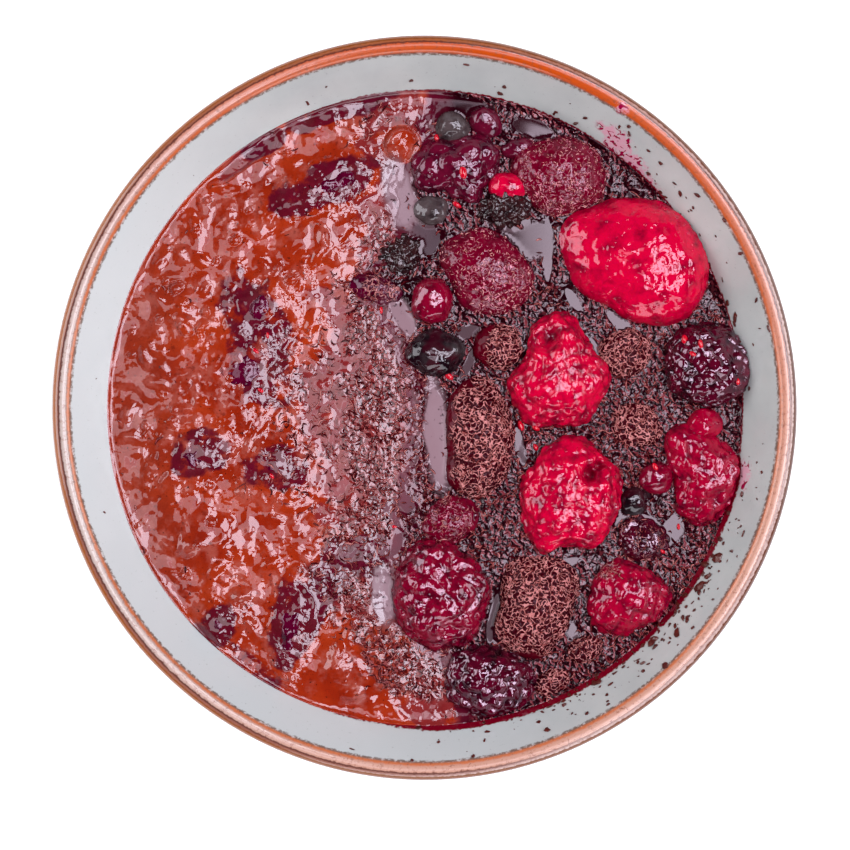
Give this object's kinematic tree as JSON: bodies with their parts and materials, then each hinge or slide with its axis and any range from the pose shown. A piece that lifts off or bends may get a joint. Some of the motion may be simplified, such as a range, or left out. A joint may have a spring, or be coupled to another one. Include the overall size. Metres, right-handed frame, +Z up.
{
  "type": "chocolate rice pudding in a bowl",
  "caption": "Round stoneware bowl of chocolate rice pudding, with red and dark berries in syrup over one side and grated chocolate.",
  "frame": {"origin": "centre of the foot ring's underside, on the surface that the bowl stands on", "axes": "+Z up, along the bowl's axis; +X towards the berry side; +Y towards the back"},
  "size_m": [0.156, 0.156, 0.055],
  "materials": {
    "glazed_stoneware": "gloss",
    "chocolate_pudding": "gloss",
    "berry_syrup": "gloss",
    "red_berries": "gloss",
    "dark_berries": "gloss",
    "grated_chocolate": "matte"
  },
  "bodies": {
    "root": {"bowl": "glazed_stoneware", "pudding": "chocolate_pudding", "berry_syrup": "berry_syrup", "strawberry_large": "red_berries", "raspberry_upper": "red_berries", "raspberry_middle": "red_berries", "raspberry_left": "red_berries", "raspberry_right": "red_berries", "strawberry_back": "red_berries", "strawberry_left": "red_berries", "strawberry_long": "red_berries", "strawberry_front": "red_berries", "raspberry_torn": "red_berries", "raspberry_scrap": "red_berries", "currant_bright": "red_berries", "currant_left": "red_berries", "berry_centre": "red_berries", "berry_round": "red_berries", "berry_scrap": "red_berries", "bramble_wall": "dark_berries", "bramble_front": "dark_berries", "bramble_back": "dark_berries", "bilberry_black": "dark_berries", "bilberry_hidden": "dark_berries", "bilberry_back": "dark_berries", "bilberry_pair": "dark_berries", "bilberry_small": "dark_berries", "berry_right": "dark_berries", "berry_dark": "dark_berries", "berry_upper": "dark_berries", "berry_under_upper": "dark_berries", "berry_under_middle": "dark_berries", "berry_under_wall": "dark_berries", "dark_piece": "dark_berries", "pudding_berry_back": "dark_berries", "pudding_berry_upper": "dark_berries", "pudding_berry_middle": "dark_berries", "pudding_berry_left": "dark_berries", "pudding_berry_low": "dark_berries", "pudding_berry_front": "dark_berries", "pudding_berry_wall": "dark_berries", "crumb_cluster": "grated_chocolate"}
  },
  "joints": []
}
